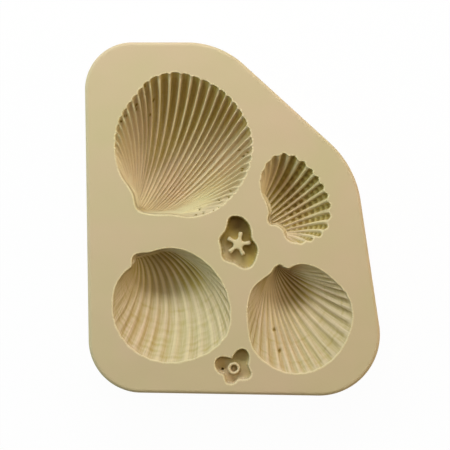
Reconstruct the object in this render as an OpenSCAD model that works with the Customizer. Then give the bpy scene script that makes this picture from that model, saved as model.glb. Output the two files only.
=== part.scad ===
/* [Slab] */
// Length of the slab, along Y
slab_length = 118; // [112:1:140]
// Width of the slab, along X
slab_width = 98.5; // [94:0.5:120]
// Thickness of the slab
slab_thickness = 20; // [18:0.5:40]
// Radius of the top left corner
top_left_radius = 15.7; // [10:0.1:20]
// Radius of the shoulder where the top edge turns into the slanted edge
top_shoulder_radius = 28.2; // [20:0.1:32]
// Distance from the left side to the middle of that shoulder
top_shoulder_run = 34; // [30:0.5:45]
// Radius of the shoulder where the slanted edge turns into the right side
right_shoulder_radius = 32.3; // [24:0.1:34]
// Height of the middle of that shoulder above the bottom edge
right_shoulder_rise = 60.5; // [56:0.5:70]
// How far that shoulder stands back from the widest point on the right
right_shoulder_inset = 6.1; // [0:0.1:7]
// Radius of the bottom right corner
bottom_right_radius = 20.4; // [12:0.1:24]
// Radius of the bottom left corner
bottom_left_radius = 17.7; // [10:0.1:20]
// How far the left side leans inwards at its lower end
left_lean = 1.2; // [0:0.1:2]
// How far the bottom edge rises at its left end
bottom_lean = 1; // [0:0.1:2]
// Rounding of the top edge of the slab
top_edge_radius = 1.2; // [0.5:0.1:2]
// Rounding of the bottom edge of the slab
bottom_edge_radius = 0.6; // [0.3:0.1:1.5]

/* [Rims of the hollows] */
// Width of the rounded lip round a shell hollow
lip_width = 0.5; // [0.3:0.05:0.8]
// Depth of the wall where the lip ends
lip_depth = 0.55; // [0.4:0.05:0.8]

/* [Large cockle] */
// Width of the large cockle, along X
large_width = 45.1; // [40:0.1:46]
// Height of the large cockle, along Y
large_height = 47.9; // [42:0.1:49]
// Middle of the large cockle, to the left of the middle of the slab
large_left = 16.5; // [15:0.1:18]
// Middle of the large cockle, above the middle of the slab
large_up = 24.7; // [22:0.1:26]
// Depth of the beak pit of the large cockle
large_beak_depth = 2.5; // [1.5:0.1:3.5]
// Number of ribs on the large cockle
large_ribs = 34; // [24:1:36]
// Height of a rib on the large cockle
large_rib_height = 1.3; // [0.3:0.05:1.6]
// How far a rib end of the large cockle bites into the rim
large_scallop = 0.5; // [0:0.05:0.6]

/* [Small cockle] */
// Width of the small cockle, along X
small_width = 22.8; // [20:0.1:24]
// Height of the small cockle, along Y
small_height = 29.5; // [26:0.1:31]
// Middle of the small cockle, to the right of the middle of the slab
small_right = 20.8; // [19:0.1:22]
// Middle of the small cockle, above the middle of the slab
small_up = 6.8; // [5:0.1:8]
// Depth of the beak pit of the small cockle
small_beak_depth = 1.5; // [0.8:0.1:2.4]
// Number of ribs on the small cockle
small_ribs = 17; // [12:1:20]
// Height of a rib on the small cockle
small_rib_height = 1.2; // [0.3:0.05:1.5]
// How far a rib end of the small cockle bites into the rim
small_scallop = 0.9; // [0:0.05:1]

/* [Left scallop] */
// Width of the left scallop, along X
left_width = 38.9; // [35:0.1:40]
// Height of the left scallop, along Y
left_height = 37.7; // [34:0.1:39]
// Middle of the left scallop, to the left of the middle of the slab
left_left = 20.3; // [19:0.1:22]
// Middle of the left scallop, below the middle of the slab
left_down = 28.7; // [27:0.1:30]
// Depth of the beak pit of the left scallop
left_beak_depth = 1.5; // [0.8:0.1:2.4]
// Number of ribs on the left scallop
left_ribs = 20; // [14:1:24]
// Height of a rib on the left scallop
left_rib_height = 0.8; // [0.3:0.05:1.2]
// How far a rib end of the left scallop bites into the rim
left_scallop = 0.15; // [0:0.05:0.4]

/* [Right scallop] */
// Width of the right scallop, along X
right_width = 34.5; // [31:0.1:36]
// Height of the right scallop, along Y
right_height = 36.3; // [33:0.1:38]
// Middle of the right scallop, to the right of the middle of the slab
right_right = 22.6; // [21:0.1:24]
// Middle of the right scallop, below the middle of the slab
right_down = 33.2; // [32:0.1:35]
// Depth of the beak pit of the right scallop
right_beak_depth = 2; // [1.2:0.1:3]
// Number of ribs on the right scallop
right_ribs = 22; // [14:1:24]
// Height of a rib on the right scallop
right_rib_height = 0.8; // [0.3:0.05:1.2]
// How far a rib end of the right scallop bites into the rim
right_scallop = 0.1; // [0:0.05:0.4]

/* [Pockets] */
// Length of the upper pocket
upper_pocket_length = 17.6; // [14:0.1:18]
// Middle of the upper pocket, to the right of the middle of the slab
upper_pocket_right = 1.9; // [1:0.1:3]
// Middle of the upper pocket, below the middle of the slab
upper_pocket_down = 7.8; // [7:0.1:9]
// Depth of the upper pocket
upper_pocket_depth = 3.6; // [3:0.1:3.9]
// Length of the lower pocket
lower_pocket_length = 12; // [9:0.1:12.5]
// Middle of the lower pocket, to the right of the middle of the slab
lower_pocket_right = 0.2; // [0:0.1:1]
// Middle of the lower pocket, below the middle of the slab
lower_pocket_down = 49.3; // [48:0.1:50]
// Depth of the lower pocket
lower_pocket_depth = 3; // [2.6:0.1:3.9]
// Rounding of the notches between two lobes
notch_radius = 0.8; // [0.4:0.1:1.2]
// Height of the raised star on the floor of the upper pocket
star_height = 2.6; // [0.8:0.1:2.8]
// Height of the raised ring on the floor of the lower pocket
ring_height = 2; // [0.8:0.1:2.4]
// Width of the stroke of the ring
ring_stroke = 0.9; // [0.6:0.1:1.2]

/* [Hidden] */

// How far a cut runs on past the face that it opens
overrun = 1;
// Facets of the slab's round corners, and the steps of its rounded edges
corner_facets = 44;
edge_steps = 3;
// Steps of the margin curve between two outline points, and the step for its direction
margin_steps = 6;
tangent_step = 1 / 24;
// Rings of a shell hollow from the beak to the margin
shell_rings = 11;
// The rings lie closer together near the beak
ring_crowding = 1.25;
// Steepest tilt that the coiling reaches, in degrees
steepest_tilt = 85;
// Columns of a shell hollow behind the hinge, where no rib reaches
hinge_columns = 14;
// Ribs over which the relief fades out at each end of the row
fading_ribs = 2;
// The lip's middle ring: its place across the lip and its depth, as shares of the lip
lip_middle_share = 0.35;
// How far the lip's outer ring stands above the top face, as a share of the lip's depth
lip_rise_share = 0.15;
// Softness of the step from the hinge to the coiled front, as a share of the shell's height
hinge_softness_share = 0.06;
// Steepness of the pit's wall behind the beak and in front of it, and where one turns into the
// other, as a share of the shell's height
back_wall_power = 0.45;
front_wall_power = 2.6;
wall_turn_share = 0.25;
// How far the wall behind the beak leans inwards for each unit of depth
wall_lean = 0.1;

// How each shell grows: the direction that it grows in, in degrees, its tilt for each e-fold of
// growth, in radians, its drift sideways as a part of its depth, its fullness, and how much fuller
// it is towards one side
large_growth = [55.2, 0.9, 0.28, 1.08, 0];
small_growth = [32.4, 1.6, 0.05, 1.1, 0];
left_growth = [-63.6, 0.95, -0.75, 0.95, 0.95];
right_growth = [-64.2, 0.6, 0.35, 1.25, -0.45];
// Where each row of ribs begins and ends, as shares of the margin's length, how much closer the
// ribs lie at both ends of the row, and how much closer at its beginning
large_rib_row_shares = [0.17, 0.88, -0.1, 0];
small_rib_row_shares = [0.17, 0.88, 0, 0];
left_rib_row_shares = [0.11, 0.88, 0, 0];
right_rib_row_shares = [0.08, 0.86, 0.12, 0.04];
// How narrow the crests between the ribs are: 2 is an even wave, and more is a thin crest
large_rib_sharpness = 8;
small_rib_sharpness = 3;
left_rib_sharpness = 2;
right_rib_sharpness = 2;
// Where the columns lie across a rib, from crest to crest
round_rib_shares = [0, 0.2, 0.5, 0.8];
plain_rib_shares = [0, 0.33, 0.67];

// Outline points and beak of each shell, as shares of its width and height from its middle.
// They run clockwise, seen from above, and begin behind the beak.
large_outline_shares = [
    [-0.325, -0.460], [-0.375, -0.335], [-0.465, -0.195], [-0.500, -0.020], [-0.465, 0.175],
    [-0.355, 0.335], [-0.235, 0.455], [-0.075, 0.500], [0.120, 0.460], [0.305, 0.360],
    [0.430, 0.220], [0.500, 0.055], [0.490, -0.120], [0.405, -0.295], [0.265, -0.430],
    [0.080, -0.500], [-0.095, -0.485], [-0.245, -0.480]];
large_beak_share = [-0.318, -0.447];
small_outline_shares = [
    [-0.395, -0.245], [-0.375, -0.155], [-0.410, -0.060], [-0.480, 0.060], [-0.500, 0.200],
    [-0.440, 0.350], [-0.320, 0.460], [-0.170, 0.500], [0.035, 0.450], [0.235, 0.320],
    [0.390, 0.160], [0.485, -0.015], [0.500, -0.210], [0.410, -0.380], [0.235, -0.465],
    [0.035, -0.500], [-0.100, -0.465], [-0.195, -0.340], [-0.275, -0.300], [-0.360, -0.290]];
small_beak_share = [-0.350, -0.260];
left_outline_shares = [
    [-0.340, 0.405], [-0.315, 0.445], [-0.265, 0.460], [-0.195, 0.465], [-0.125, 0.485],
    [-0.030, 0.500], [0.095, 0.485], [0.295, 0.370], [0.430, 0.195], [0.500, -0.045],
    [0.475, -0.240], [0.355, -0.385], [0.155, -0.480], [-0.085, -0.500], [-0.315, -0.400],
    [-0.465, -0.205], [-0.500, 0.025], [-0.470, 0.185], [-0.395, 0.295], [-0.340, 0.350]];
left_beak_share = [-0.297, 0.421];
right_outline_shares = [
    [-0.195, 0.495], [-0.150, 0.470], [-0.115, 0.460], [-0.060, 0.485], [0.015, 0.500],
    [0.140, 0.470], [0.325, 0.350], [0.460, 0.195], [0.500, 0.015], [0.450, -0.175],
    [0.315, -0.365], [0.130, -0.475], [-0.060, -0.500], [-0.295, -0.425], [-0.450, -0.275],
    [-0.500, -0.070], [-0.500, 0.150], [-0.450, 0.285], [-0.350, 0.370], [-0.280, 0.420],
    [-0.245, 0.470]];
right_beak_share = [-0.216, 0.466];

// Middle and radius of each lobe of the pockets, as shares of the pocket's length
upper_lobe_shares = [
    [-0.06, 0.34, 0.15], [0.07, 0.29, 0.17], [-0.20, -0.03, 0.155],
    [-0.155, -0.20, 0.155], [0.175, -0.165, 0.19], [0.14, -0.31, 0.175]];
lower_lobe_shares = [
    [-0.28, 0.055, 0.22], [0.25, 0.265, 0.22], [0.29, -0.155, 0.205], [-0.04, -0.265, 0.21]];
// Size of the web that joins the lobes, as a share of each lobe's radius
web_share = 0.7;
// The star on the upper floor: its middle, its arms and its waist, as shares of the pocket's length
star_middle_share = [0.005, -0.035];
star_arm_share = 0.24;
star_waist_share = 0.105;
star_arms = 5;
star_lean = 12;
// The ring on the lower floor: its middle and outer radius, as shares of the pocket's length
ring_middle_share = [0.03, -0.05];
ring_radius_share = 0.17;

// Points of a quarter arc about a middle, from one angle to another
function quarter_arc(middle, radius, from) =
    [for (step = [0:edge_steps])
        middle + radius * [cos(from + 90 * step / edge_steps), sin(from + 90 * step / edge_steps)]];

// One round corner of the slab at its full thickness, with both edges rounded
module corner_post(place, radius) {
    low = [radius - bottom_edge_radius, bottom_edge_radius];
    high = [radius - top_edge_radius, slab_thickness - top_edge_radius];
    translate(place)
        rotate_extrude($fn = corner_facets)
            polygon(concat(
                [[0, 0]],
                quarter_arc(low, bottom_edge_radius, -90),
                quarter_arc(high, top_edge_radius, 0),
                [[0, slab_thickness]]));
}

// The slab without its hollows: a flat block drawn round five corner posts
module slab() {
    left = -slab_width / 2;
    right = slab_width / 2;
    bottom = -slab_length / 2;
    top = slab_length / 2;
    hull() {
        corner_post([left + top_left_radius, top - top_left_radius], top_left_radius);
        corner_post([left + top_shoulder_run, top - top_shoulder_radius], top_shoulder_radius);
        corner_post(
            [right - right_shoulder_inset - right_shoulder_radius, bottom + right_shoulder_rise],
            right_shoulder_radius);
        corner_post(
            [right - bottom_right_radius, bottom + bottom_right_radius], bottom_right_radius);
        corner_post(
            [left + left_lean + bottom_left_radius, bottom + bottom_lean + bottom_left_radius],
            bottom_left_radius);
    }
}

// Direction of a closed curve at one of its points, per unit of length
function knot_slope(points, i) =
    let (
        count = len(points),
        back = points[i % count] - points[(i + count - 1) % count],
        ahead = points[(i + 1) % count] - points[i % count],
        ratio = norm(back) / norm(ahead))
    (ahead * ratio + back / ratio) / (norm(back) + norm(ahead));

// A place on the smooth closed curve through the points, t counted in points
function margin_at(points, t) =
    let (
        count = len(points),
        i = floor(t),
        f = t - i,
        from = points[i % count],
        to = points[(i + 1) % count],
        span = norm(to - from),
        leaving = knot_slope(points, i) * span,
        arriving = knot_slope(points, i + 1) * span)
    from * (1 + f * f * (2 * f - 3)) + to * f * f * (3 - 2 * f)
        + leaving * f * (1 - f) * (1 - f) - arriving * f * f * (1 - f);

// Length run so far at each step of a path, as pairs of length and step
function running_length(path, step = 0, run = 0) =
    step == len(path) - 1 ? [[run, step]]
        : concat([[run, step]],
            running_length(path, step + 1, run + norm(path[step + 1] - path[step])));

// Table that gives the curve's t for a share of its whole length
function length_table(points) =
    let (
        path = [for (k = [0:len(points) * margin_steps]) margin_at(points, k / margin_steps)],
        runs = running_length(path),
        whole = runs[len(runs) - 1][0])
    [for (pair = runs) [pair[0] / whole, pair[1] / margin_steps]];

// A soft switch from 0 to 1
function ease(x) = let (c = min(max(x, 0), 1)) c * c * (3 - 2 * c);

// Columns of a shell: each is a share of the margin's length and the relief there, from -0.5 on
// the crest between two ribs to 0.5 in the middle of a rib, and 0 behind the hinge
function shell_columns(ribs, rib_row_shares, sharpness, sample_shares) =
    let (
        first = rib_row_shares[0],
        last = rib_row_shares[1],
        crowding = rib_row_shares[2],
        skew = rib_row_shares[3])
    concat(
        [for (rib = [0:ribs - 1], sample = sample_shares)
            let (
                t = (rib + sample) / ribs,
                fade = ease(min(t, 1 - t) * ribs / fading_ribs),
                along = t - crowding * sin(360 * t) / (2 * PI) - skew * sin(180 * t),
                groove = 1 - pow(abs(cos(180 * sample)), sharpness))
            [first + (last - first) * along, fade * (groove - 1 / 2)]],
        [for (k = [0:hinge_columns - 1])
            [last + (1 + first - last) * k / hinge_columns, 0]]);

// The hollow that a seashell leaves. Each ring is the margin at an earlier stage of growth, shrunk
// towards the beak and tilted about the hinge line, as a shell coils
module shell_hollow(
    place, size, outline_shares, beak_share, beak_depth, growth,
    ribs, rib_height, scallop, rib_row_shares, sharpness, sample_shares)
{
    heading = growth[0];
    coil = growth[1];
    creep = growth[2];
    fullness = growth[3];
    bias = growth[4];
    points = [for (share = outline_shares) place + [share.x * size.x, share.y * size.y]];
    beak = place + [beak_share.x * size.x, beak_share.y * size.y];
    table = length_table(points);
    columns = shell_columns(ribs, rib_row_shares, sharpness, sample_shares);
    grow = [cos(heading), sin(heading)];
    side = [sin(heading), -cos(heading)];
    softness = hinge_softness_share * size.y;
    stages = [for (ring = [1:shell_rings]) pow(ring / shell_rings, ring_crowding)];
    // Margin, outward direction and relief of each column
    margins = [for (column = columns)
        let (
            t = lookup(column[0] - floor(column[0]), table),
            around = margin_at(points, t + tangent_step)
                - margin_at(points, t + len(points) - tangent_step))
        [margin_at(points, t), [-around.y, around.x] / norm(around), column[1]]];
    // The margin as seen from the hinge line: how far along it and how far in front of it
    rim = [for (margin = margins) [(margin[0] - beak) * side, (margin[0] - beak) * grow]];
    function rim_behind(place_along) =
        let (
            found = [for (k = [0:len(rim) - 1])
                let (a = rim[k], b = rim[(k + 1) % len(rim)])
                if ((a.x - place_along) * (b.x - place_along) <= 0 && a.x != b.x)
                    a.y + (b.y - a.y) * (place_along - a.x) / (b.x - a.x)])
        len(found) == 0 ? -size.y : min(found);
    // A place in the hollow, held in front of the leaning wall below the rim behind the beak
    function held_place(flat, depth) =
        let (
            place_along = (flat - beak) * side,
            ahead = (flat - beak) * grow,
            least = rim_behind(place_along) + wall_lean * depth)
        ahead < least ? beak + place_along * side + least * grow : flat;
    function inner_ring(stage) = [for (margin = margins)
        let (
            arm = margin[0] - beak,
            x = arm * side,
            y = arm * grow,
            front = (y + sqrt(y * y + softness * softness)) / 2,
            tilt = min(coil * ln(1 / stage) * 180 / PI, steepest_tilt),
            lift = stage * front * sin(tilt),
            turned = ease((y + softness) / (wall_turn_share * size.y)),
            power = back_wall_power + (front_wall_power - back_wall_power) * turned,
            plan = beak + stage * (x * side + (y - front + front * cos(tilt)) * grow)
                + creep * lift * side + margin[1] * scallop * margin[2] * stage,
            depth = lip_depth + fullness * lift * (1 + bias * x / size.y)
                + beak_depth * pow(1 - stage, power) + rib_height * margin[2] * stage,
            held = stage == 1 ? plan : held_place(plan, depth))
        [held.x, held.y, slab_thickness - depth]];
    function lip_ring(across, drop_share, rise) = [for (margin = margins)
        let (
            plan = margin[0] + margin[1] * (scallop * margin[2] + lip_width * across),
            drop = drop_share * (lip_depth + rib_height * margin[2]))
        [plan.x, plan.y, slab_thickness - drop + rise]];
    rings = concat(
        [for (stage = stages) inner_ring(stage)],
        [
            lip_ring(lip_middle_share, lip_middle_share, 0),
            lip_ring(1, 0, lip_depth * lip_rise_share),
            lip_ring(1, 0, overrun)]);
    across = len(columns);
    up = len(rings);
    middle = across * up;
    tip = held_place(beak, lip_depth + beak_depth);
    polyhedron(
        points = concat(
            [for (ring = rings) each ring],
            [[tip.x, tip.y, slab_thickness - lip_depth - beak_depth]],
            [[tip.x, tip.y, slab_thickness + overrun]]),
        faces = concat(
            [for (r = [0:up - 2], c = [0:across - 1], half = [0, 1])
                let (
                    n = (c + 1) % across,
                    a = r * across + c,
                    b = r * across + n,
                    d = a + across,
                    e = b + across)
                half == 0 ? [a, b, e] : [a, e, d]],
            [for (c = [0:across - 1]) [middle, (c + 1) % across, c]],
            [for (c = [0:across - 1])
                [middle + 1, middle - across + c, middle - across + (c + 1) % across]]));
}

// Flat shape of a pocket: its lobes, the web between them and rounded notches
module pocket_shape(lobe_shares, length) {
    offset(r = -notch_radius, $fn = corner_facets)
        offset(r = notch_radius, $fn = corner_facets) {
            for (lobe = lobe_shares)
                translate([lobe.x, lobe.y] * length)
                    circle(r = lobe.z * length, $fn = corner_facets);
            hull()
                for (lobe = lobe_shares)
                    translate([lobe.x, lobe.y] * length)
                        circle(r = lobe.z * length * web_share, $fn = corner_facets);
        }
}

// A pocket with straight walls and a flat floor, open at the top face
module pocket(place, lobe_shares, length, depth) {
    translate([place.x, place.y, slab_thickness - depth])
        linear_extrude(depth + overrun)
            pocket_shape(lobe_shares, length);
}

// Flat shape of a rounded star
module star_shape(arm, waist) {
    soft = waist / 2;
    offset(r = soft, $fn = corner_facets)
        polygon([for (k = [0:2 * star_arms - 1])
            let (reach = (k % 2 == 0 ? arm : waist) - soft, turn = star_lean + 180 * k / star_arms)
            reach * [sin(turn), cos(turn)]]);
}

// The raised star on the floor of the upper pocket
module floor_star() {
    middle = [upper_pocket_right, -upper_pocket_down] + star_middle_share * upper_pocket_length;
    translate([middle.x, middle.y, slab_thickness - upper_pocket_depth - overrun])
        linear_extrude(star_height + overrun)
            star_shape(star_arm_share * upper_pocket_length, star_waist_share * upper_pocket_length);
}

// The raised ring on the floor of the lower pocket
module floor_ring() {
    middle = [lower_pocket_right, -lower_pocket_down] + ring_middle_share * lower_pocket_length;
    outer = ring_radius_share * lower_pocket_length;
    translate([middle.x, middle.y, slab_thickness - lower_pocket_depth - overrun])
        difference() {
            cylinder(r = outer, h = ring_height + overrun, $fn = corner_facets);
            translate([0, 0, overrun])
                cylinder(r = outer - ring_stroke, h = ring_height + overrun, $fn = corner_facets);
        }
}

// The hollow of the large cockle
module large_hollow() {
    shell_hollow(
        place = [-large_left, large_up], size = [large_width, large_height],
        outline_shares = large_outline_shares, beak_share = large_beak_share,
        beak_depth = large_beak_depth, growth = large_growth, ribs = large_ribs,
        rib_height = large_rib_height, scallop = large_scallop,
        rib_row_shares = large_rib_row_shares, sharpness = large_rib_sharpness,
        sample_shares = round_rib_shares);
}

// The hollow of the small cockle
module small_hollow() {
    shell_hollow(
        place = [small_right, small_up], size = [small_width, small_height],
        outline_shares = small_outline_shares, beak_share = small_beak_share,
        beak_depth = small_beak_depth, growth = small_growth, ribs = small_ribs,
        rib_height = small_rib_height, scallop = small_scallop,
        rib_row_shares = small_rib_row_shares, sharpness = small_rib_sharpness,
        sample_shares = round_rib_shares);
}

// The hollow of the left scallop
module left_hollow() {
    shell_hollow(
        place = [-left_left, -left_down], size = [left_width, left_height],
        outline_shares = left_outline_shares, beak_share = left_beak_share,
        beak_depth = left_beak_depth, growth = left_growth, ribs = left_ribs,
        rib_height = left_rib_height, scallop = left_scallop,
        rib_row_shares = left_rib_row_shares, sharpness = left_rib_sharpness,
        sample_shares = plain_rib_shares);
}

// The hollow of the right scallop
module right_hollow() {
    shell_hollow(
        place = [right_right, -right_down], size = [right_width, right_height],
        outline_shares = right_outline_shares, beak_share = right_beak_share,
        beak_depth = right_beak_depth, growth = right_growth, ribs = right_ribs,
        rib_height = right_rib_height, scallop = right_scallop,
        rib_row_shares = right_rib_row_shares, sharpness = right_rib_sharpness,
        sample_shares = plain_rib_shares);
}

// The upper pocket, long and wavy
module upper_pocket() {
    pocket(
        [upper_pocket_right, -upper_pocket_down], upper_lobe_shares,
        upper_pocket_length, upper_pocket_depth);
}

// The lower pocket, with four lobes
module lower_pocket() {
    pocket(
        [lower_pocket_right, -lower_pocket_down], lower_lobe_shares,
        lower_pocket_length, lower_pocket_depth);
}

// The one piece of cast rubber
module mould_body() {
    color("wheat") {
        difference() {
            slab();
            large_hollow();
            small_hollow();
            left_hollow();
            right_hollow();
            upper_pocket();
            lower_pocket();
        }
        floor_star();
        floor_ring();
    }
}

mould_body();
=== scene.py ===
import math

import bmesh
import bpy
import numpy as np
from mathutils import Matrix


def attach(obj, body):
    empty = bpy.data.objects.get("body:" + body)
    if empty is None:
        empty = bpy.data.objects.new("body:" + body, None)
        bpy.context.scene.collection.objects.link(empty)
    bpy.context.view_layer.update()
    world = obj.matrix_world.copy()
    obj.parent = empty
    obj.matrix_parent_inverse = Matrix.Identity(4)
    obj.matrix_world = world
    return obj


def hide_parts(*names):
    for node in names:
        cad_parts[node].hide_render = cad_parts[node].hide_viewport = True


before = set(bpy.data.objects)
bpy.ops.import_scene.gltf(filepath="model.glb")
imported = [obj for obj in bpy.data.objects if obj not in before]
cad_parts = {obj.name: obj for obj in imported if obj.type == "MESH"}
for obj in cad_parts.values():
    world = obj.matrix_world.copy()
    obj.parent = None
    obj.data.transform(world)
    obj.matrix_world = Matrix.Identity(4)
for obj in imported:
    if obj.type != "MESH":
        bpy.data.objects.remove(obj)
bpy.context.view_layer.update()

# The slab. One block of soft silicone rubber, poured over the shells in a shallow box and turned
# over once it had set, so its working face is flat, its outline is five round corners, and its
# upper edge is slightly soft. All of the mould is cast in this one pour.
mm = 0.001
top = 20.0
# Each corner has its centre and its radius, in millimetres. A narrow border of rim_support lies
# beside each soft edge, so that the flat faces shade flat.
corner_rounds = [
    (-33.55, 43.3, 15.7), (-15.25, 30.8, 28.2), (10.85, 1.5, 32.3), (28.85, -38.6, 20.4),
    (-30.35, -40.3, 17.7)]
outline_points = 240
upper_edge, upper_steps = 1.2, 6
lower_edge, lower_steps = 0.6, 4
rim_support = 0.35
same_level = 1e-6


def pick(kind, test):
    """Selects the edges or faces of the mesh in edit mode for which the test holds."""
    bpy.ops.mesh.select_mode(type=kind)
    bpy.ops.mesh.select_all(action="DESELECT")
    shape = bmesh.from_edit_mesh(bpy.context.object.data)
    for part in shape.edges if kind == "EDGE" else shape.faces:
        part.select_set(test(part))
    shape.select_flush_mode()
    bmesh.update_edit_mesh(bpy.context.object.data)


def level(part, height):
    """True if all corners of an edge or face lie at that height, in millimetres."""
    return all(abs(corner.co.z - height * mm) < same_level for corner in part.verts)


bpy.ops.object.select_all(action="DESELECT")
bpy.ops.mesh.primitive_circle_add(
    vertices=outline_points, radius=60 * mm, fill_type="NGON")
mould = bpy.context.object
mould.name = "mould"
for corner in mould.data.vertices:
    turn = math.atan2(corner.co.y, corner.co.x)
    out = (math.cos(turn), math.sin(turn))
    x, y, radius = max(corner_rounds, key=lambda c: c[0] * out[0] + c[1] * out[1] + c[2])
    corner.co = ((x + radius * out[0]) * mm, (y + radius * out[1]) * mm, 0)
bpy.ops.object.mode_set(mode="EDIT")
bpy.ops.mesh.select_all(action="SELECT")
bpy.ops.mesh.extrude_region_move(TRANSFORM_OT_translate={"value": (0, 0, top * mm)})
pick("EDGE", lambda edge: level(edge, top))
bpy.ops.mesh.bevel(offset=upper_edge * mm, segments=upper_steps, affect="EDGES")
pick("EDGE", lambda edge: level(edge, 0))
bpy.ops.mesh.bevel(offset=lower_edge * mm, segments=lower_steps, affect="EDGES")
for height in (lower_edge + rim_support, top - upper_edge - rim_support):
    bpy.ops.mesh.select_all(action="SELECT")
    bpy.ops.mesh.bisect(plane_co=(0, 0, height * mm), plane_no=(0, 0, 1))
for height in (0, top):
    pick("FACE", lambda face: level(face, height) and len(face.verts) > 4)
    bpy.ops.mesh.inset(thickness=rim_support * mm)
pick("FACE", lambda face: level(face, top) and len(face.verts) > 4)
bpy.ops.mesh.delete(type="FACE")
bpy.ops.mesh.select_all(action="SELECT")
bpy.ops.mesh.normals_make_consistent(inside=False)
bpy.ops.object.mode_set(mode="OBJECT")

# The hollow of the large cockle. It is the print of a real cockle valve: each growth stage of the
# shell's margin is the last one enlarged about the beak and turned about the hinge line. The ribs
# of the shell stand here as broad grooves with thin crests between them, ending in round tabs.
lip, roll = 0.55, 0.3
roll_turns = np.radians([18, 36, 54, 72, 90])
# The painted shading on a point runs from palest, a painted highlight, over 0 on the flat top, to
# darkest, a painted shade.
palest, darkest = -1.0, 2.0


def smooth_loop(points):
    """Places on the smooth closed curve through the points, with the share of its length."""
    steps = 24
    here = np.array(points, float)
    ahead = np.roll(here, -1, 0) - here
    long = np.linalg.norm(ahead, axis=1)[:, None]
    behind, short = np.roll(ahead, 1, 0), np.roll(long, 1, 0)
    slope = (ahead * short / long + behind * long / short) / (short + long)
    f = (np.arange(steps) / steps)[None, :, None]
    curve = (
        here[:, None] * (1 + f * f * (2 * f - 3)) + (here + ahead)[:, None] * f * f * (3 - 2 * f)
        + (slope * long)[:, None] * f * (1 - f) ** 2
        - (np.roll(slope, -1, 0) * long)[:, None] * f * f * (1 - f))
    curve = np.vstack([curve.reshape(-1, 2), here[:1]])
    run = np.concatenate([[0], np.cumsum(np.linalg.norm(np.diff(curve, axis=0), axis=1))])
    return curve, run / run[-1]


def places_along(points, shares):
    """Places at these shares of the closed curve's length, and the direction out of it."""
    curve, run = smooth_loop(points)
    shares = np.array(shares) % 1
    beside = 0.002

    def place(share):
        return np.stack([np.interp(share % 1, run, curve[:, k]) for k in (0, 1)], axis=1)

    around = place(shares + beside) - place(shares - beside)
    out = np.stack([-around[:, 1], around[:, 0]], axis=1)
    return place(shares), out / np.linalg.norm(out, axis=1)[:, None]


def ease(x, start, width):
    """A soft switch, from 0 at the start to 1 past the width."""
    x = np.clip((x - start) / width, 0, 1)
    return x * x * (3 - 2 * x)


def surface(name, rings, shares, stages, tip, painted_shading):
    """An open sheet of quads through rings of points, closed by a fan at its tip, with a UV map in
    metres, along the margin and along the growth, and the painted shading on each point."""
    count = rings.shape[1]
    points = np.vstack([rings.reshape(-1, 3), tip]) * mm
    n = np.arange(count)
    quads = [
        np.stack([r + n, r + (n + 1) % count, r + count + (n + 1) % count, r + count + n], axis=1)
        for r in range(0, count * (len(rings) - 1), count)]
    fan = np.stack([np.full(count, len(points) - 1), (n + 1) % count, n], axis=1)
    made = bpy.data.meshes.new(name)
    made.from_pydata(points.tolist(), [], np.vstack(quads).tolist() + fan.tolist())
    length = np.linalg.norm(np.diff(np.vstack([rings[-1], rings[-1][:1]]), axis=0), axis=1).sum()
    u = np.append(shares, shares[0] + 1) * length * mm
    layer = made.uv_layers.new(name="Growth")
    where = []
    for ring in range(len(rings) - 1):
        low, high = stages[ring], stages[ring + 1]
        for column in range(count):
            where += [
                (u[column], low), (u[column + 1], low), (u[column + 1], high), (u[column], high)]
    for column in range(count):
        where += [(u[column], 0), (u[column + 1], stages[0]), (u[column], stages[0])]
    layer.data.foreach_set("uv", np.array(where, dtype=np.float32).ravel())
    painted_shading = np.append(painted_shading.ravel(), painted_shading[0].mean())
    made.attributes.new(name="PaintedShading", type="FLOAT", domain="POINT").data.foreach_set(
        "value", painted_shading.astype(np.float32))
    piece = bpy.data.objects.new(name, made)
    bpy.context.collection.objects.link(piece)
    return piece


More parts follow.
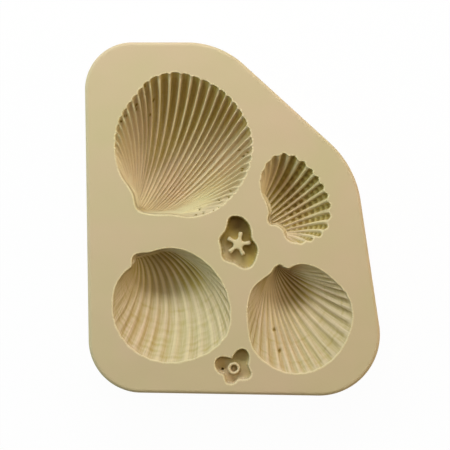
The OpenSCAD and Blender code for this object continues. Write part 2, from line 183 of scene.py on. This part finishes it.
def shell_hollow(
        name, outline, beak, height, heading, coil, creep, fullness, bias, pit, crests, profile,
        rib, tab, rings, hinge_columns, spread, faint, crest_highlight, shade_start, shade_zones, blunt=0, bars=0,
        bar_pitch=1, halts=(), halt_depth=0, shade_amount=1, pale=0, shade_row=(0, 1.3)):
    """The print of a ribbed shell. Lengths are in millimetres. Shares run once round the margin,
    and stages of growth run from 0 at the beak to 1 at the margin.

    Growth: from its beak the shell grows by its height towards its heading, in degrees. coil
    turns the stages about the hinge line, creep moves them sideways, fullness sinks them, bias
    sinks one side more, and pit is how much deeper the beak lies. The margin lies a lip below the
    top face, and the rim above it is rolled over.

    Ribs: they lie between the crests, with profile as their section, rib as their depth and
    spread as the power by which it grows. faint counts the fainter ribs at either end of the row.
    tab is the reach of their ends, which are rounder with blunt. bars is the height of cross
    bars, one to each bar_pitch of growth, and each of the halts is a growth line of halt_depth.

    Painted shading: shade_amount is how much painted shade lies in the grooves, within shade_row
    and past shade_start. crest_highlight is how much paler the crests are painted, a painted
    highlight, and pale lessens both on the later stages. Each of the shade_zones is an amount of
    painted shadow where the rim's shadow falls, and below 0 of painted light, with the share and
    the stage of its middle, each with its reach."""
    shares, cross, tabs = [], [], []
    for k in range(len(crests) - 1):
        fade = ease(k + 0.5, 0, faint[0]) * ease(len(crests) - 1.5 - k, 0, faint[1])
        for across, relief in profile:
            shares.append(crests[k] + (crests[k + 1] - crests[k]) * across)
            cross.append(relief * fade)
            wave = -math.cos(2 * math.pi * across) / 2
            tabs.append(tab * (relief + (wave - relief) * blunt) * fade)
    gap = 1 + crests[0] - crests[-1]
    shares += [crests[-1] + gap * k / hinge_columns for k in range(hinge_columns)]
    cross += [0] * hinge_columns
    tabs += [0] * hinge_columns
    shares, cross, tabs = np.array(shares), np.array(cross), np.array(tabs)
    margin, out = places_along(outline, shares)
    grow = np.array([math.cos(math.radians(heading)), math.sin(math.radians(heading))])
    side = np.array([grow[1], -grow[0]])
    arm = margin - beak
    x, y = arm @ side, arm @ grow
    soft = 0.06 * height
    front = (y + np.sqrt(y * y + soft * soft)) / 2
    rim_points, nowhere, wall_lean = 160, 1e9, 0.1
    rim_place, _ = places_along(outline, np.arange(rim_points) / rim_points)
    rim = np.stack([(rim_place - beak) @ side, (rim_place - beak) @ grow], axis=1)
    rim_next = np.roll(rim, -1, 0)
    rim_run = np.where(rim_next[:, 0] == rim[:, 0], 1 / nowhere, rim_next[:, 0] - rim[:, 0])

    def hold(flat, depth):
        """Keeps the places in front of the wall below the rim behind the beak."""
        along = ((flat - beak) @ side).ravel()[:, None]
        crossing = (rim[:, 0] - along) * (rim_next[:, 0] - along) <= 0
        rise = (rim_next[:, 1] - rim[:, 1]) / rim_run
        behind = np.where(crossing, rim[:, 1] + rise * (along - rim[:, 0]), nowhere).min(axis=1)
        least = np.where(behind == nowhere, -nowhere, behind).reshape(depth.shape)
        ahead = (flat - beak) @ grow
        return flat + np.maximum(least + wall_lean * depth - ahead, 0)[..., None] * grow

    # The growth. The pit has a steep wall behind the hinge line and fades out in front of it.
    first_stage, most_tilt = 0.02, math.radians(85)
    stage = np.linspace(first_stage, 1, rings)[:, None]
    tilt = np.minimum(coil * np.log(1 / stage), most_tilt)
    lift = stage * front * np.sin(tilt)
    turned = ease(y, -soft, 0.25 * height)
    depth = (
        lip + fullness * lift * (1 + bias * x / height)
        + pit * (1 - stage) ** (0.45 + 2.15 * turned))
    flat = (
        beak + (stage * x + creep * lift)[..., None] * side
        + (stage * (y - front + front * np.cos(tilt)))[..., None] * grow)
    flat = hold(flat, depth)
    sheet = np.dstack([flat, top - depth])
    across = np.roll(sheet, -1, 1) - np.roll(sheet, 1, 1)
    inwards = np.cross(across, np.gradient(sheet, axis=0))
    inwards /= np.linalg.norm(inwards, axis=2)[..., None] + 1e-12
    inwards *= -np.sign(inwards[..., 2:].mean())

    # The ribs. Cross bars begin at some way from the beak and from the start of the row, and each
    # growth line comes and goes along the margin. At the rim the ribs give way to their tabs.
    groove = np.clip(cross, 0, None) * 2
    relief = rib * cross * stage ** spread
    bar = ease(np.cos(2 * math.pi * stage / bar_pitch), -0.1, 0.6)
    barred = groove * bar * ease(stage, 0.4, 0.2) * ease(shares, 0.26, 0.3)
    halt_width = 0.008
    stops = sum((
        (0.6 + 0.4 * np.sin(50 * shares + 300 * halt))
        * np.exp(-((stage - halt) / halt_width) ** 2) for halt in halts), np.zeros_like(relief))
    relief = relief - bars * barred - halt_depth * stops
    at_rim = ease(stage, 0.95, 0.05)[..., None]
    shift = np.column_stack([out * tabs[:, None], np.zeros(len(cross))])
    sheet = sheet + relief[..., None] * inwards * (1 - at_rim) + shift * at_rim
    sheet[..., :2] = np.where(
        at_rim == 1, sheet[..., :2], hold(sheet[..., :2], top - sheet[..., 2]))
    edge = margin + out * tabs[:, None]
    rolled = []
    for turn in roll_turns:
        place = edge + out * roll * (1 - math.cos(turn))
        heights = np.full(len(edge), top - roll * (1 - math.sin(turn)))
        rolled.append(np.column_stack([place, heights]))
    rolled.append(np.column_stack([edge + out * (roll + rim_support), np.full(len(edge), top)]))
    sheet = np.vstack([sheet, np.array(rolled)])
    scale, roll_run = height * mm, 0.1 * mm
    stages = list(stage[:, 0] * scale) + [scale + roll_run * (k + 1) for k in range(len(rolled))]
    tip_flat = hold(np.array([beak], float), np.array([lip + pit]))
    tip = np.append(tip_flat[0], top - lip - pit)

    # The painted shading. Painted shade lies deep in the grooves and in the growth lines, the tops
    # of the bars and the crests are painted paler, a painted highlight, and the row of shade is
    # shorter near the beak.
    place = np.where(shares > crests[-1], 2 * crests[-1] - shares, shares)
    last = shade_row[1] - 0.45 * (1 - stage)
    flanks = ease(place, shade_row[0], 0.2) * ease(last - place, 0, 0.14)
    shade_reach = (1 - pale * ease(stage, 0.3, 0.35)) * ease(stage, shade_start, 0.45)
    deep, high, bar_loss, halt_gain = 0.85, 0.4, 1.3, 4
    painted_shading = shade_amount * flanks * shade_reach * np.clip(cross + 0.35, 0, deep) / deep
    painted_shading = painted_shading - bar_loss * bars * barred + halt_gain * halt_depth * stops
    pressed = ease(stage, 0, 0.15) * (1 - 0.5 * pale * ease(stage, 0.35, 0.35))
    painted_shading = painted_shading - crest_highlight * np.clip(-0.1 - cross, 0, high) / high * pressed
    # Zones of painted shadow where the rim's shadow falls, and of painted light where the amount
    # is below 0.
    for amount, share, wide, at, long in shade_zones:
        painted_shading = painted_shading + amount * np.exp(-((shares - share) / wide) ** 2 - ((stage - at) / long) ** 2)
    # The rolled rim is painted palest, a painted highlight.
    rim_highlight = np.append(np.full(len(roll_turns), palest), 0)
    painted_shading = np.vstack([painted_shading, np.tile(rim_highlight[:, None], len(cross))])
    return surface(name, sheet, shares, stages, tip, painted_shading)


thin_crest = [
    (0, -0.5), (0.07, -0.4), (0.14, 0.05), (0.22, 0.4), (0.36, 0.5), (0.64, 0.5), (0.78, 0.4),
    (0.86, 0.05), (0.93, -0.4)]
large_crests = [
    0.115, 0.134, 0.152, 0.17, 0.19, 0.21, 0.23, 0.25, 0.27, 0.29, 0.31, 0.33, 0.355, 0.38, 0.405,
    0.43, 0.453, 0.477, 0.5, 0.52, 0.54, 0.56, 0.58, 0.605, 0.63, 0.65, 0.67, 0.69, 0.71, 0.73,
    0.75, 0.77, 0.79, 0.81, 0.83, 0.85, 0.87]
large = shell_hollow(
    "large cockle",
    outline=[
        (-31.2, 2.7), (-33.4, 8.7), (-37.5, 15.4), (-39, 23.7), (-37.5, 33.1), (-32.5, 40.7),
        (-27.1, 46.5), (-19.9, 48.6), (-11.1, 46.7), (-2.7, 41.9), (2.9, 35.2), (6.1, 27.3),
        (5.6, 19), (1.8, 10.6), (-4.5, 4.1), (-12.9, 0.8), (-20.8, 1.5), (-27.5, 1.7)],
    beak=(-30.84, 3.29), height=47.9, heading=55.2, coil=0.9, creep=0.28, fullness=1.08, bias=0,
    pit=2.5, crests=large_crests, profile=thin_crest, rib=1.9, tab=0.5, rings=70, hinge_columns=36,
    spread=0.9, faint=(4, 7), crest_highlight=0.7, shade_start=-0.05, shade_row=(0.21, 0.72),
    shade_zones=[
        (-0.6, 0.5, 0.6, 0, 0.4), (-0.9, 0.13, 0.12, 0.7, 0.5), (-0.8, 0.76, 0.1, 0.4, 0.35)])

# The hollow of the small cockle. Its ribs are fewer and rounder, and its grooves carry small cross
# bars, the prints of the scales on the real shell.
round_crest = [
    (0, -0.5), (0.08, -0.45), (0.16, -0.27), (0.23, 0.08), (0.31, 0.42), (0.42, 0.5), (0.58, 0.5),
    (0.69, 0.42), (0.77, 0.08), (0.84, -0.27), (0.92, -0.45)]
small = shell_hollow(
    "small cockle",
    outline=[
        (11.8, -0.4), (12.2, 2.2), (11.5, 5), (9.9, 8.6), (9.4, 12.7), (10.8, 17.1), (13.5, 20.4),
        (16.9, 21.6), (21.6, 20.1), (26.2, 16.2), (29.7, 11.5), (31.9, 6.4), (32.2, 0.6),
        (30.1, -4.4), (26.2, -6.9), (21.6, -8), (18.5, -6.9), (16.4, -3.2), (14.5, -2),
        (12.6, -1.8)],
    beak=(12.82, -0.87), height=29.5, heading=32.4, coil=1.6, creep=0.05, fullness=1.1, bias=0,
    pit=1.5,
    crests=[
        0.105, 0.127, 0.15, 0.175, 0.217, 0.258, 0.3, 0.34, 0.385, 0.43, 0.47, 0.508, 0.547, 0.588,
        0.632, 0.677, 0.72, 0.762, 0.803, 0.842, 0.88],
    profile=round_crest, rib=1.7, tab=0.9, rings=104, hinge_columns=24, blunt=1,
    spread=0.85, faint=(9, 3), bars=0.55, bar_pitch=0.0666, shade_amount=1.5, crest_highlight=0.5,
    shade_start=0.2, shade_row=(0.19, 1.2),
    shade_zones=[
        (-0.9, 0.5, 0.6, 0, 0.33), (-0.8, 0.16, 0.12, 0.6, 0.5), (-0.7, 0.88, 0.12, 0.35, 0.5)])

# The hollow of the left scallop. Its valve had low, soft ribs, a smooth flank and fine rings where
# its growth had stopped for a winter.
soft_crest = [
    (0, -0.5), (0.11, -0.38), (0.22, -0.1), (0.33, 0.24), (0.44, 0.46), (0.56, 0.46), (0.67, 0.24),
    (0.78, -0.1), (0.89, -0.38)]
left = shell_hollow(
    "left scallop",
    outline=[
        (-33.5, -13.4), (-32.6, -11.9), (-30.6, -11.4), (-27.9, -11.2), (-25.2, -10.4),
        (-21.5, -9.8), (-16.6, -10.4), (-8.8, -14.8), (-3.6, -21.3), (-0.9, -30.4), (-1.8, -37.7),
        (-6.5, -43.2), (-14.3, -46.8), (-23.6, -47.5), (-32.6, -43.8), (-38.4, -36.4),
        (-39.8, -27.8), (-38.6, -21.7), (-35.7, -17.6), (-33.5, -15.5)],
    beak=(-31.85, -12.83), height=37.7, heading=-63.6, coil=0.95, creep=-0.75, fullness=0.95,
    bias=0.95, pit=1.5,
    crests=[
        0.11, 0.15, 0.185, 0.22, 0.26, 0.3, 0.34, 0.38, 0.42, 0.455, 0.49, 0.53, 0.57, 0.61, 0.65,
        0.685, 0.72, 0.755, 0.785, 0.815, 0.85, 0.88],
    profile=soft_crest, rib=0.8, tab=0.15, rings=68, hinge_columns=36, blunt=1,
    spread=0.4, faint=(8, 4),
    halts=(0.66, 0.745, 0.8, 0.86, 0.9, 0.94, 0.97), halt_depth=0.12, shade_amount=1.45, crest_highlight=0.7,
    pale=0.9, shade_start=-0.2,
    shade_zones=[
        (1, 0.48, 0.09, 0.45, 0.12), (-0.8, 0.5, 1.5, 0, 0.25), (0.3, 0.72, 0.15, 0.7, 0.35),
        (-0.55, 0.68, 0.14, 0.35, 0.18)])

# The hollow of the right scallop, with the same kind of ribs, a little sharper.
right = shell_hollow(
    "right scallop",
    outline=[
        (15.9, -15.2), (17.4, -16.1), (18.6, -16.5), (20.5, -15.6), (23.1, -15.1), (27.4, -16.1),
        (33.8, -20.5), (38.5, -26.1), (39.9, -32.7), (38.1, -39.6), (33.5, -46.4), (27.1, -50.4),
        (20.5, -51.4), (12.4, -48.6), (7.1, -43.2), (5.4, -35.7), (5.4, -27.8), (7.1, -22.9),
        (10.5, -19.8), (12.9, -18), (14.1, -16.1)],
    beak=(15.15, -16.28), height=36.3, heading=-64.2, coil=0.6, creep=0.35, fullness=1.25,
    bias=-0.45, pit=2,
    crests=[
        0.08, 0.11, 0.14, 0.165, 0.19, 0.215, 0.245, 0.28, 0.316, 0.354, 0.392, 0.43, 0.465, 0.495,
        0.521, 0.546, 0.574, 0.608, 0.65, 0.69, 0.727, 0.764, 0.8, 0.835],
    profile=soft_crest, rib=0.9, tab=0.1, rings=68, hinge_columns=36, blunt=1,
    spread=0.4, faint=(6, 4),
    halts=(0.72, 0.9, 0.95), halt_depth=0.1, shade_amount=1.6, crest_highlight=0.5, pale=0.85,
    shade_start=-0.2,
    shade_zones=[
        (0.6, 0.33, 0.1, 0.36, 0.17), (-0.8, 0.65, 0.25, 0.1, 0.3), (0.2, 0.5, 0.5, 0.8, 0.3),
        (-0.9, 0.56, 0.14, 0.3, 0.2)])

# The two pockets. They are shallow wells between the shells, with leaning walls and a flat floor.
# A plain raised star stands on the floor of the upper one and a plain raised ring on the lower,
# beside a small hole that an air bubble left.
pocket_steps = 112
floor_corner = 0.4


def stepped_wall(name, outline, steps):
    """A sheet that follows a closed outline. Each step is one ring: how far out it lies from the
    outline, its height, and its painted shading, painted shade above 0 and painted highlight
    below."""
    shares = np.arange(pocket_steps) / pocket_steps
    place, out = places_along(outline, shares)
    rings = np.array([
        np.column_stack([place + out * shift, np.full(len(place), height)])
        for shift, height, _ in steps])
    # The walls away from the lower left corner, towards the top and the right, get more painted
    # shade.
    across = (place - place.min(axis=0)) / np.ptp(place, axis=0)
    far = 0.1 + across ** 2 @ (0.5, 0.75)
    painted_shading = np.array([step[2] * (far if step[2] > 0 else np.ones(len(place))) for step in steps])
    sheet = surface(name, rings, shares, np.zeros(len(steps)), rings[0].mean(axis=0), painted_shading)
    shape = bmesh.new()
    shape.from_mesh(sheet.data)
    shape.verts.ensure_lookup_table()
    bmesh.ops.delete(shape, geom=[shape.verts[-1]], context="VERTS")
    shape.to_mesh(sheet.data)
    shape.free()
    return sheet


def pocket_wall(name, outline, depth, lean, shade_amount):
    """The wall of a pocket, from the soft corner at its floor to the soft lip at the top. The
    floor and the foot of the wall are painted darker, a painted shade that fades up the wall, and
    the lip is painted palest, a painted highlight.
    """
    floor, spans = top - depth, 3
    steps = [(-lean - floor_corner, floor, shade_amount)]
    for turn in roll_turns[:-1]:
        steps.append((
            -lean - floor_corner + floor_corner * math.sin(turn),
            floor + floor_corner * (1 - math.cos(turn)), shade_amount))
    for k in range(spans + 1):
        steps.append((
            -lean + lean * k / spans,
            floor + floor_corner + (depth - floor_corner - roll) * k / spans,
            shade_amount * (1 - k / (spans + 1))))
    for turn in roll_turns:
        steps.append((roll * (1 - math.cos(turn)), top - roll * (1 - math.sin(turn)), palest))
    steps.append((roll + rim_support, top, 0))
    return stepped_wall(name, outline, steps)


def circle(place, radius, step):
    """The outline of a circle, with a point at every step, in degrees."""
    return [
        (place[0] + radius * math.sin(math.radians(turn)),
         place[1] + radius * math.cos(math.radians(turn))) for turn in range(0, 360, step)]


upper_depth, lower_depth = 3.6, 3
upper_floor, lower_floor = top - upper_depth, top - lower_depth
upper_pocket = pocket_wall(
    "upper pocket",
    [
        (-1.4, -0.2), (-0.5, 0.8), (1, 1), (2.8, 0.7), (4.5, -0.5), (5.7, -2.2), (6.2, -4),
        (6.5, -6.5), (7.7, -8.3), (8.4, -10.2), (8, -12.3), (7.3, -14.3), (6, -16), (4.2, -16.5),
        (2.5, -16), (1, -15), (-1.2, -14.3), (-2.9, -13.5), (-3.5, -12.3), (-3.7, -10.3),
        (-4, -8.7), (-4.4, -7), (-3.7, -5.5), (-2.5, -4), (-1.8, -2)],
    upper_depth, lean=0.5, shade_amount=2)
lower_pocket = pocket_wall(
    "lower pocket",
    [
        (-0.2, -46.5), (0.3, -45.5), (1.5, -44), (3.3, -43.3), (4.8, -44), (5.5, -45.5),
        (5.5, -47), (5.2, -48.8), (5.8, -50.3), (6.2, -51.5), (5.8, -52.8), (4.8, -53.4),
        (2.8, -53.5), (1.8, -53.7), (1, -54.5), (-0.5, -55), (-1.8, -54.7), (-2.5, -53.3),
        (-3, -52), (-4.3, -51.3), (-5.5, -49.8), (-5.8, -48.2), (-5.3, -46.8), (-4, -46),
        (-2.2, -46), (-1, -46.3)],
    lower_depth, lean=0.3, shade_amount=0.6)
star_place, star_lean, star_rise = (2, -8.4), 12, 2.6
star_arm, arm_blunt = 4.1, 7
star_waist, waist_blunt = 1.8, 9
star_outline = []
for k in range(10):
    turn = math.radians(star_lean + 36 * k)
    reach, blunt = (star_waist, waist_blunt) if k % 2 else (star_arm, arm_blunt)
    for spread in (-blunt, blunt):
        star_outline.append((
            star_place[0] + reach * math.sin(turn + math.radians(spread)),
            star_place[1] + reach * math.cos(turn + math.radians(spread))))
star_top = upper_floor + star_rise
# The top of the star is painted paler, a painted highlight, and its foot darker, a painted shade.
star = stepped_wall(
    "star", star_outline,
    [(-0.55, star_top, -0.2), (-0.36, star_top - 0.05, -0.3), (-0.18, star_top - 0.18, -0.3),
     (-0.06, star_top - 0.4, 0), (0, upper_floor + 1, 1.2), (0.02, upper_floor + 0.2, 2),
     (0.07, upper_floor + 0.06, 2), (0.15, upper_floor, 2)])
ring_place, ring_outer = (0.5, -49.9), 2.1
# Each step of the ring's section is its shift, rise and painted shading: paler on top, a painted
# highlight, and darker at its foot, a painted shade.
ring_section = [
    (-1.3, 0, 0.6), (-1.16, 0.07, 0.6), (-1.05, 0.25, 0.6), (-1, 1.2, 0.5), (-0.92, 1.75, 0),
    (-0.72, 1.95, -0.3), (-0.5, 2, -0.3), (-0.28, 1.95, -0.3), (-0.08, 1.75, 0), (0, 1.2, 0.5),
    (0.05, 0.25, 0.6), (0.16, 0.07, 0.6), (0.3, 0, 0.6)]
ring = stepped_wall(
    "ring", circle(ring_place, ring_outer, 20),
    [(shift, lower_floor + rise, shade_amount) for shift, rise, shade_amount in ring_section])
hole_place, hole_radius, hole_depth = (-3.3, -50.2), 0.42, 1.8
hole_floor = lower_floor - hole_depth
# The inside of the hole is painted darkest, a painted shade.
air_hole = stepped_wall(
    "air hole", circle(hole_place, hole_radius, 60),
    [(0, hole_floor, 4), (0, lower_floor - 0.1, 4), (0.1, lower_floor, 0.6)])

# Everything is one pour, so the sheets are joined into the slab, and the flat face between them
# and the two pocket floors are filled in.
bpy.ops.object.select_all(action="DESELECT")
for sheet in (large, small, left, right, upper_pocket, lower_pocket, star, ring, air_hole, mould):
    sheet.select_set(True)
bpy.context.view_layer.objects.active = mould
bpy.ops.object.join()
bpy.ops.object.mode_set(mode="EDIT")
for height in (top, upper_floor, lower_floor, star_top, hole_floor):
    pick("EDGE", lambda edge: edge.is_boundary and level(edge, height))
    bpy.ops.mesh.fill(use_beauty=True)
bpy.ops.mesh.select_all(action="SELECT")
bpy.ops.mesh.normals_make_consistent(inside=False)
bpy.ops.object.mode_set(mode="OBJECT")
bpy.ops.object.shade_smooth()

# Small faults of the casting: air bubbles that stuck to the shells left pits in the print. Each
# has its place and radius in millimetres, and none is in the top face or near the underside.
pit_depth, lowest = 0.8, 2
pits = [
    (-32.2, 38.3, 0.6), (-32.2, 36.7, 0.6), (-29.3, 44.3, 0.6), (-29, 41.7, 0.5),
    (-36.2, 34.3, 0.6), (-37.2, 32.7, 0.6), (3.8, 21.3, 0.6), (5.2, 22.3, 0.5), (3.2, 16.7, 0.6),
    (-0.5, 9.3, 0.5), (-4.5, 6.3, 0.5), (-9.8, 1.9, 0.5), (14, -37.3, 1), (15.8, -44.3, 1),
    (-1.3, 7.3, 0.5), (-4.6, 3.7, 0.5), (3.4, 16.4, 0.5), (4.3, 17.8, 0.5), (4, 21.2, 0.5),
    (2.3, 23.4, 0.5), (2.1, 24.8, 0.5), (-6.3, 2.8, 0.5), (-8.2, 1.4, 0.5), (-12.1, 1.4, 0.5),
    (-11, 3.1, 0.5), (-29.3, 44.8, 0.5), (-27.7, 35.3, 0.5), (-26.6, 40.1, 0.5),
    (-35.4, 34.5, 0.5), (-22.1, 13.9, 0.5)]
spots = mould.data.attributes["PaintedShading"].data
painted_shading, corners = np.empty(len(spots), np.float32), np.empty(3 * len(spots), np.float32)
spots.foreach_get("value", painted_shading)
mould.data.vertices.foreach_get("co", corners)
corners = corners.reshape(-1, 3)
sunk = (corners[:, 2] > lowest * mm) & (corners[:, 2] < top * mm - same_level)
for x, y, radius in pits:
    away = np.hypot(corners[:, 0] / mm - x, corners[:, 1] / mm - y) / radius
    near = sunk & (away < 1)
    corners[near, 2] -= pit_depth * mm * (1 - away[near] ** 2) ** 2
    # The middle of each pit is painted darkest, a painted shade.
    painted_shading[near & (away < 0.5)] = darkest
mould.data.vertices.foreach_set("co", corners.ravel())
spots.foreach_set("value", painted_shading)

# Silicone rubber, tin or platinum cured and poured. Its skin copies what it lay on, so it is matte
# with a faint soft sheen and cream coloured, with pale clouding from the filler. Edges and crests
# are painted paler, a painted highlight, the grooves and recesses are painted brown, a painted
# shade, and fine growth lines of the shells are printed in the rubber as bumps, with painted
# streaks of shading along them.


def linear(hex_code):
    """An sRGB hex colour as linear red, green, blue and alpha."""
    shares = [int(hex_code[k:k + 2], 16) / 255 for k in (1, 3, 5)]
    return tuple(
        c / 12.92 if c <= 0.04045 else ((c + 0.055) / 1.055) ** 2.4 for c in shares) + (1,)


def add_node(tree, kind, settings={}, inputs={}):
    """Adds a node with its settings, and sets or links its inputs."""
    made = tree.nodes.new(kind)
    for name, value in settings.items():
        setattr(made, name, value)
    for name, value in inputs.items():
        if isinstance(value, bpy.types.NodeSocket):
            tree.links.new(value, made.inputs[name])
        else:
            made.inputs[name].default_value = value
    return made


cloud_size, swell_size, grain_size = 22 * mm, 14 * mm, 0.8 * mm
swell_relief, grain_relief, line_relief = 0.25 * mm, 0.02 * mm, (0.13 * mm, 0.3 * mm)
# The sockets of a Mix node for its two colours and for the mixed one.
mix_a, mix_b, mixed = 6, 7, 2
silicone = bpy.data.materials.new("poured silicone rubber")
silicone.use_nodes = True
tree = silicone.node_tree
tree.nodes.clear()
where = add_node(tree, "ShaderNodeTexCoord")
clouds = add_node(
    tree, "ShaderNodeTexNoise", {},
    {"Vector": where.outputs["Object"], "Scale": 1 / cloud_size, "Detail": 3.0, "Roughness": 0.5})
patches = add_node(
    tree, "ShaderNodeMapRange", {},
    {"Value": clouds.outputs["Fac"], "From Min": 0.3, "From Max": 0.7})
cream = add_node(
    tree, "ShaderNodeMix", {"data_type": "RGBA"},
    {"Factor": patches.outputs["Result"], mix_a: linear("#E3D0A1"), mix_b: linear("#EACEA8")})
growth = add_node(tree, "ShaderNodeUVMap", {"uv_map": "Growth"})
painted_shading = add_node(tree, "ShaderNodeAttribute", {"attribute_name": "PaintedShading"}).outputs["Fac"]
# Growth lines run along the margin and riblets across it. Each kind has its size along the margin
# and along the growth, in millimetres, and its strength as painted streaks of shade in the
# shading.
lines = []
for wide, long, strength in ((5, 0.7, 0.4), (0.7, 9, 1.4)):
    stretched = add_node(
        tree, "ShaderNodeMapping", {},
        {"Vector": growth.outputs["UV"], "Scale": (1 / (wide * mm), 1 / (long * mm), 1)})
    lines.append(add_node(
        tree, "ShaderNodeTexNoise", {},
        {"Vector": stretched.outputs["Vector"], "Scale": 1.0, "Detail": 2.0}).outputs["Fac"])
    streak = add_node(tree, "ShaderNodeMath", {"operation": "SUBTRACT"}, {0: lines[-1], 1: 0.5})
    painted_shading = add_node(
        tree, "ShaderNodeMath", {"operation": "MULTIPLY_ADD"},
        {0: streak.outputs[0], 1: strength, 2: painted_shading}).outputs[0]
share = add_node(
    tree, "ShaderNodeMapRange", {}, {"Value": painted_shading, "From Min": palest, "From Max": darkest})
tones = add_node(tree, "ShaderNodeValToRGB", {}, {"Fac": share.outputs["Result"]})
# The ramp runs from the painted highlight at its start, over the flat top's tone at a third, to
# the brown painted shade at its end.
ramp = tones.color_ramp.elements
ramp[0].position, ramp[0].color = 0, linear("#F9FFFF")
ramp[1].position, ramp[1].color = 1, linear("#8B7C45")
for position, tint in (
        (0.13, "#F9FCF5"), (1 / 3, "#E5E5E5"), (0.48, "#D4D3BD"), (2 / 3, "#C4BC7E")):
    ramp.new(position).color = linear(tint)
toned = add_node(
    tree, "ShaderNodeMix", {"data_type": "RGBA", "blend_type": "MULTIPLY"},
    {"Factor": 1.0, mix_a: cream.outputs[mixed], mix_b: tones.outputs["Color"]})
grain = add_node(
    tree, "ShaderNodeTexNoise", {},
    {"Vector": where.outputs["Object"], "Scale": 1 / grain_size, "Detail": 2.0})
swell = add_node(
    tree, "ShaderNodeTexNoise", {},
    {"Vector": where.outputs["Object"], "Scale": 1 / swell_size, "Detail": 1.0})
fine = add_node(
    tree, "ShaderNodeBump", {},
    {"Height": grain.outputs["Fac"], "Strength": 1.0, "Distance": grain_relief})
broad = add_node(
    tree, "ShaderNodeBump", {},
    {"Height": swell.outputs["Fac"], "Strength": 1.0, "Distance": swell_relief,
     "Normal": fine.outputs["Normal"]})
normal = broad.outputs["Normal"]
for line, height in zip(lines, line_relief):
    normal = add_node(
        tree, "ShaderNodeBump", {},
        {"Height": line, "Strength": 1.0, "Distance": height, "Normal": normal},
    ).outputs["Normal"]
skin = add_node(
    tree, "ShaderNodeBsdfPrincipled", {},
    {"Base Color": toned.outputs[mixed], "Roughness": 0.6, "IOR": 1.41, "Normal": normal})
add_node(tree, "ShaderNodeOutputMaterial", {}, {"Surface": skin.outputs["BSDF"]})
mould.data.materials.clear()
mould.data.materials.append(silicone)
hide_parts("mould_body")
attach(mould, "root")

# The floor under the mould: a plain white table top, which shows white to the camera and keeps a
# soft shadow. It is clear from below, so that the underside of the mould can be looked at.
floor_size, floor_gap, whiteness = 6, 0.05 * mm, 0.97
bpy.ops.object.select_all(action="DESELECT")
bpy.ops.mesh.primitive_plane_add(size=floor_size, location=(0, 0, -floor_gap))
floor = bpy.context.object
floor.name = "floor"
paper = bpy.data.materials.new("white table top")
paper.use_nodes = True
tree = paper.node_tree
tree.nodes.clear()
path = add_node(tree, "ShaderNodeLightPath")
seen = add_node(
    tree, "ShaderNodeMath", {"operation": "MAXIMUM"},
    {0: path.outputs["Is Camera Ray"], 1: path.outputs["Is Glossy Ray"]})
seen = add_node(
    tree, "ShaderNodeMath", {"operation": "MAXIMUM"},
    {0: seen.outputs[0], 1: path.outputs["Is Transmission Ray"]})
share = add_node(
    tree, "ShaderNodeMath", {"operation": "MULTIPLY"}, {0: seen.outputs[0], 1: whiteness})
matte = add_node(tree, "ShaderNodeBsdfDiffuse", {}, {"Color": linear("#F2F2F2")})
white = add_node(tree, "ShaderNodeEmission", {}, {"Color": linear("#FFFFFF"), "Strength": 1.0})
both = add_node(
    tree, "ShaderNodeMixShader", {},
    {0: share.outputs[0], 1: matte.outputs[0], 2: white.outputs[0]})
facing = add_node(tree, "ShaderNodeNewGeometry")
passed = add_node(
    tree, "ShaderNodeMath", {"operation": "MAXIMUM"},
    {0: path.outputs["Is Shadow Ray"], 1: facing.outputs["Backfacing"]})
clear = add_node(tree, "ShaderNodeBsdfTransparent")
both = add_node(
    tree, "ShaderNodeMixShader", {},
    {0: passed.outputs[0], 1: both.outputs[0], 2: clear.outputs[0]})
add_node(tree, "ShaderNodeOutputMaterial", {}, {"Surface": both.outputs[0]})
floor.data.materials.append(paper)

# Daylight: a wide, low window beyond the upper edge of the mould, a weak light from above, cooler
# light from the left and warmer light from the right, and a dim warm room. A lamp under the table
# shows the underside to a camera below it. Each lamp has its turn and rise in degrees, its
# distance, width and height in metres, its colour, and its power in watts.
for name, turn, rise, away, wide, tall, colour, power in (
        ("window", 95, 38, 0.55, 0.5, 0.1, "#F0F7FF", 2.36),
        ("ceiling", 93, 72, 0.55, 0.2, 0.2, "#FFF8F0", 0.4),
        ("left wall", 172, 33, 0.55, 0.3, 0.2, "#CFF1EC", 1.2),
        ("right wall", 2, 27, 0.55, 0.3, 0.2, "#FFEABC", 0.93),
        ("under the table", 270, -86, 1.5, 0.6, 0.6, "#F2F6FF", 10)):
    lamp = bpy.data.objects.new(name, bpy.data.lights.new(name, "AREA"))
    lamp.data.shape, lamp.data.size, lamp.data.size_y = "RECTANGLE", wide, tall
    lamp.data.energy, lamp.data.color = power, linear(colour)[:3]
    turn, rise = math.radians(turn), math.radians(rise)
    lamp.location = (
        away * math.cos(turn) * math.cos(rise), away * math.sin(turn) * math.cos(rise),
        away * math.sin(rise))
    lamp.rotation_euler = (-lamp.location).to_track_quat("-Z", "Y").to_euler()
    bpy.context.collection.objects.link(lamp)
room = bpy.data.worlds.new("room")
room.use_nodes = True
tree = room.node_tree
tree.nodes.clear()
path = add_node(tree, "ShaderNodeLightPath")
dim = add_node(tree, "ShaderNodeBackground", {}, {"Color": linear("#FFE7C2"), "Strength": 0.13})
plain = add_node(tree, "ShaderNodeBackground", {}, {"Color": linear("#FFFFFF"), "Strength": 1.0})
both = add_node(
    tree, "ShaderNodeMixShader", {},
    {0: path.outputs["Is Camera Ray"], 1: dim.outputs[0], 2: plain.outputs[0]})
add_node(tree, "ShaderNodeOutputWorld", {}, {"Surface": both.outputs[0]})
bpy.context.scene.world = room

# The camera looks straight down and takes in 150 mm at the level of the top face.
camera_rise, view_width, sensor_width = 0.6, 0.15, 36
camera = bpy.data.objects.new("camera", bpy.data.cameras.new("camera"))
camera.location = (-2.5 * mm, -2.0 * mm, top * mm + camera_rise)
camera.data.sensor_width = sensor_width
camera.data.lens = sensor_width * camera_rise / view_width
bpy.context.collection.objects.link(camera)
bpy.context.scene.camera = camera
bpy.context.scene.view_settings.view_transform = "Standard"

bpy.context.view_layer.update()
